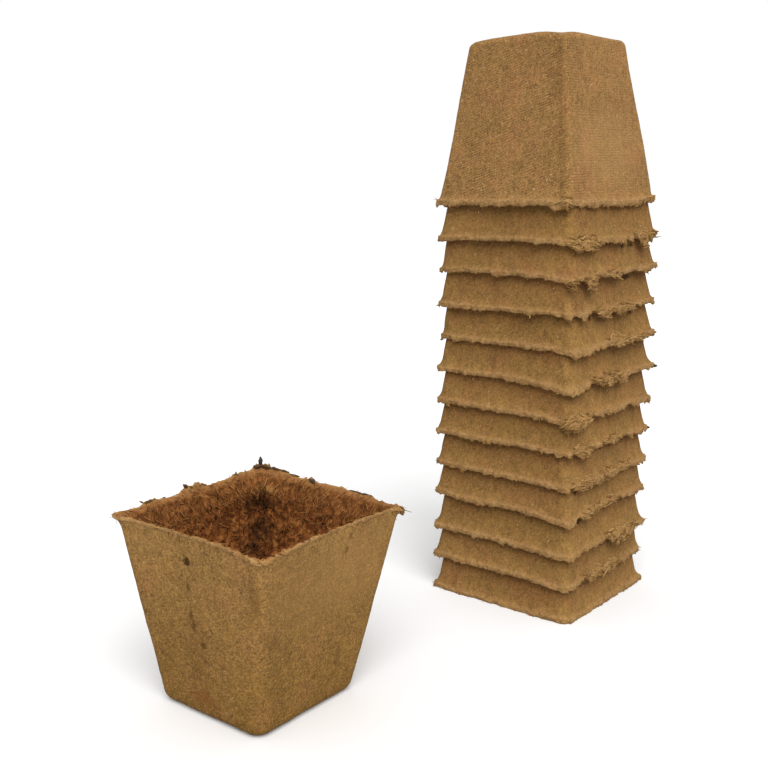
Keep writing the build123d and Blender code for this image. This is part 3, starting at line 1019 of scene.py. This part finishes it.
# %% Shells of the tower
TOWER_SEED = 200
SEED_STEP = 20
BIT_SEED = 160
TOWER_FORM = dict(lip_thickness=2.0, lip_round=0.5, overhang=1.6, lip_grip=2, foot_edge=4.2, tear=0.9,
                  fringe=1.2, right_tear=0.5, clots=0.7, felt=0.6, felt_sinks=True, rim_corner=0.8,
                  foot_corner=0.8, plan_share=0.978, rim_grip=6)
TOP_FORM = dict(TOWER_FORM, lip_thickness=2.6, lip_round=0.7, foot_edge=3.0, rim_corner=0.6,
                foot_corner=0.4, plan_share=0.964)
TABLE_FORM = dict(TOWER_FORM, fringe=0.0)
TOP_LEAN = (-1.8, -1.4)
TOP_DENTS = ((27, -27, 9, 2.2), (-27, -27, 8, 0.9), (27, 27, 9, -0.7))
for number, node in enumerate(tower, start=1):
    at_top = node == tower[-1]
    rightward, near_droop, right_lift, ear_wear = RIM_MOVES[number]
    turn = TOWER_TURN + TURN_STEP * (number - 1)
    pot = make_pot(node, TOP_ROWS if at_top else STACK_ROWS, TOWER_SEED + SEED_STEP * number,
                   TOP_FORM if at_top else TABLE_FORM if number == 1 else TOWER_FORM,
                   (top_pulp if at_top else stack_pulps[number % len(stack_pulps)], lip_fibre),
                   turn=turn, upside_down=True, hairs=130, crumbs=90,
                   bends=rim_bends(near_droop, right_lift, ear_wear), tufts=TOWER_TUFTS[number],
                   clumps=TOWER_CLUMPS[number], dents=TOP_DENTS if at_top else (),
                   rim_shift=RIGHTWARD * rightward, foot_shift=TOP_LEAN if at_top else (0, 0))
    if number in EAR_BITS:
        bits = [(x, -y, (aim[0], -aim[1], -aim[2]), *rest) for x, y, aim, *rest in EAR_BITS[number]]
        add_tubes(node + "_ear_bits", node, [crumb_set(pot, bits)], CRUMB_SIDES, CRUMB_PROFILE, dark_crumb,
                  BIT_SEED + number, True, turn)
print("pots made:", 1 + len(tower))

# %% [markdown]
# ## Floor and light
# The set stands on a pale floor in soft, even studio light from above and in front, so every rim
# of the tower throws a soft shadow on the pot below it. The lamps are suns with a wide angle:
# they light the whole floor evenly, out to the horizon.

# %% Floor
FLOOR_SIZE = 30.0
floor_mesh = bpy.data.meshes.new("floor")
reach = FLOOR_SIZE / 2
floor_mesh.from_pydata([(reach * x, reach * y, 0) for x, y in QUADRANTS], [], [(0, 1, 2, 3)])
floor = add_object("floor", floor_mesh)
floor_paint, paper, shader = new_material("white_paper_floor")
seen = add_node(paper, "LightPath").outputs["Is Camera Ray"]
shade = add_node(paper, "Mix", {0: seen, 6: hex_colour("#b4b4b4"), 7: hex_colour("#fafafa")},
                 data_type="RGBA").outputs[2]
paper.links.new(shade, shader.inputs["Base Color"])
shader.inputs["Roughness"].default_value = 0.9
shader.inputs["Specular IOR Level"].default_value = 0.0
floor_mesh.materials.append(floor_paint)


# %% Lamps and world
def soft_sun(name, azimuth, height, softness, strength):
    """A wide sun that shines from this azimuth, counted from -Y towards +X, and height above the floor."""
    light = bpy.data.lights.new(name, "SUN")
    light.angle = math.radians(softness)
    light.energy = strength
    lamp = add_object(name, light)
    lamp.rotation_euler = (math.radians(90 - height), 0, math.radians(azimuth))
    return lamp


soft_sun("front_light", azimuth=47, height=45, softness=50, strength=2.4)
soft_sun("top_light", azimuth=45, height=80, softness=90, strength=0.6)

world = bpy.data.worlds.new("studio")
world.use_nodes = True
bpy.context.scene.world = world
sky = world.node_tree
room = sky.nodes["Background"]
room.inputs["Color"].default_value = (1, 1, 1, 1)
seen = add_node(sky, "LightPath").outputs["Is Camera Ray"]
level = add_node(sky, "MapRange", {"Value": seen, "To Min": 0.48, "To Max": 1.0})
sky.links.new(level.outputs["Result"], room.inputs["Strength"])
bpy.context.scene.view_settings.view_transform = "Standard"
print("lamps:", [lamp.name for lamp in bpy.data.lights])
